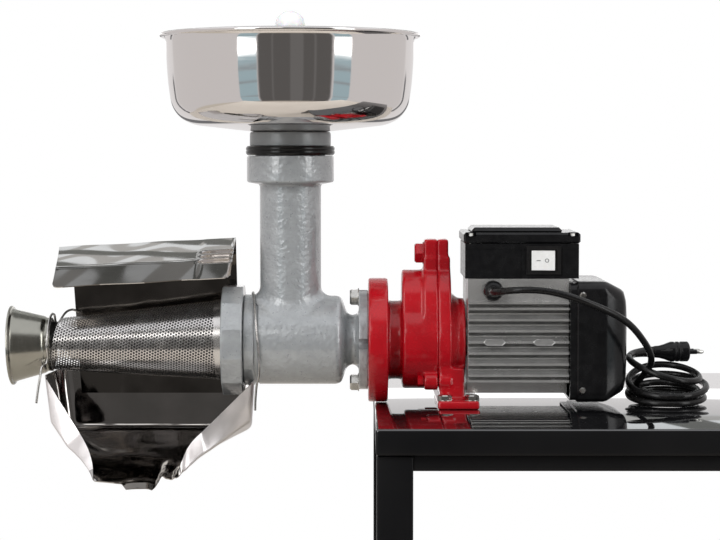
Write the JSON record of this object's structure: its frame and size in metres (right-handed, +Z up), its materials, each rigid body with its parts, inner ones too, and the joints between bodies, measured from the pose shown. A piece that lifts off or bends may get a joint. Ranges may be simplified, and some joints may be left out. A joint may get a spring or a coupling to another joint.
{
  "type": "electric fruit mill",
  "caption": "Motor-driven fruit mill: steel bowl hopper over a screw press with a perforated cone, drip tray and hood, driven through a red gearbox by a finned motor.",
  "frame": {"origin": "centre of the gearbox foot's sole", "axes": "+X runs along the screw from the waste funnel to the motor, +Y away from the switch, +Z up"},
  "size_m": [0.7349, 0.2716, 0.4865],
  "materials": {
    "cast_grey": "semi-gloss grey paint over a fine sand-cast surface",
    "bowl_steel": "mirror-polished stainless sheet",
    "sheet_steel": "polished stainless sheet with shallow dents",
    "cone_steel": "perforated stainless sheet",
    "funnel_steel": "satin stainless",
    "wire_steel": "bright drawn wire",
    "red_enamel": "glossy red enamel over a cast surface",
    "zinc": "bright zinc plate",
    "motor_grey": "pressure die-cast, grey sprayed",
    "auger_alloy": "as cast",
    "machined_steel": "machined and oiled",
    "bush_bronze": "sintered, oiled",
    "winding_copper": "varnished enamelled wire",
    "black_plastic": "moulded, lightly polished",
    "capacitor_can": "plain moulded can",
    "white_plastic": "moulded",
    "seal_rubber": "smooth, slightly glossy",
    "cord_rubber": "smooth black sheath"
  },
  "bodies": {
    "frame": {"auger_bush": "bush_bronze", "cable_gland": "black_plastic", "capacitor": "capacitor_can", "cord_coil": "cord_rubber", "drip_tray": "sheet_steel", "end_shield": "motor_grey", "fan_cover": "black_plastic", "fan_cover_screw_1": "zinc", "fan_cover_screw_2": "zinc", "fan_cover_screw_3": "zinc", "fan_cover_screw_4": "zinc", "filter_cone": "cone_steel", "flange_bolt_bottom": "zinc", "flange_bolt_top": "zinc", "foot_bolt_1": "zinc", "foot_bolt_2": "zinc", "foot_bolt_3": "zinc", "foot_bolt_4": "zinc", "gearbox_bolt_front": "red_enamel", "gearbox_bolt_rear": "red_enamel", "gearbox_bolt_top": "red_enamel", "gearbox_cover": "red_enamel", "gearbox_housing": "red_enamel", "lid_screw_1": "zinc", "lid_screw_2": "zinc", "lid_screw_3": "zinc", "lid_screw_4": "zinc", "mill_body": "cast_grey", "motor_bearing_front": "machined_steel", "motor_bearing_rear": "machined_steel", "motor_frame": "motor_grey", "output_bearing_front": "machined_steel", "output_bearing_rear": "machined_steel", "power_cord": "cord_rubber", "power_plug": "cord_rubber", "stator_core": "machined_steel", "stator_winding": "winding_copper", "switch_frame": "black_plastic", "terminal_box": "black_plastic", "terminal_lid": "black_plastic", "tray_clip_left": "wire_steel", "tray_clip_right": "wire_steel", "waste_funnel": "funnel_steel"},
    "screw": {"auger": "auger_alloy", "output_shaft": "machined_steel", "output_gear": "machined_steel"},
    "intermediate": {"intermediate_gear": "machined_steel", "intermediate_pinion": "machined_steel"},
    "rotor": {"rotor_shaft": "machined_steel", "rotor_core": "machined_steel", "cooling_fan": "black_plastic"},
    "hopper": {"hopper_bowl": "bowl_steel", "hopper_spout": "cast_grey", "hopper_seal": "seal_rubber"},
    "pusher": {"pusher": "white_plastic"},
    "ring_nut": {"ring_nut": "cast_grey"},
    "hood": {"splash_hood": "sheet_steel"},
    "rocker": {"switch_rocker": "white_plastic"}
  },
  "joints": [
    {"name": "auger_spin", "type": "hinge", "parent": "frame", "child": "screw", "pos_m": [-0.26, 0, 0.0655], "axis": [1, 0, 0], "continuous": true},
    {"name": "intermediate_spin", "type": "hinge", "parent": "frame", "child": "intermediate", "pos_m": [-0.03, 0, 0.103], "axis": [1, 0, 0], "continuous": true},
    {"name": "rotor_spin", "type": "hinge", "parent": "frame", "child": "rotor", "pos_m": [0.06, 0, 0.068], "axis": [1, 0, 0], "continuous": true},
    {"name": "hopper_lift", "type": "slide", "parent": "frame", "child": "hopper", "axis": [0, 0, 1], "range_m": [0, 0.06]},
    {"name": "pusher_lift", "type": "slide", "parent": "hopper", "child": "pusher", "axis": [0, 0, 1], "range_m": [0, 0.17]},
    {"name": "ring_nut_turn", "type": "hinge", "parent": "frame", "child": "ring_nut", "pos_m": [-0.234, 0, 0.0655], "axis": [1, 0, 0], "range_deg": [0, 90]},
    {"name": "hood_lift", "type": "slide", "parent": "frame", "child": "hood", "axis": [0, 0, 1], "range_m": [0, 0.05]},
    {"name": "rocker_tip", "type": "hinge", "parent": "frame", "child": "rocker", "pos_m": [0.0875, -0.0505, 0.152], "axis": [0, 0, 1], "range_deg": [0, 18]}
  ],
  "couplings": [
    {"joint": "intermediate_spin", "follows": "auger_spin", "ratio": -4},
    {"joint": "rotor_spin", "follows": "auger_spin", "ratio": 16.364}
  ]
}
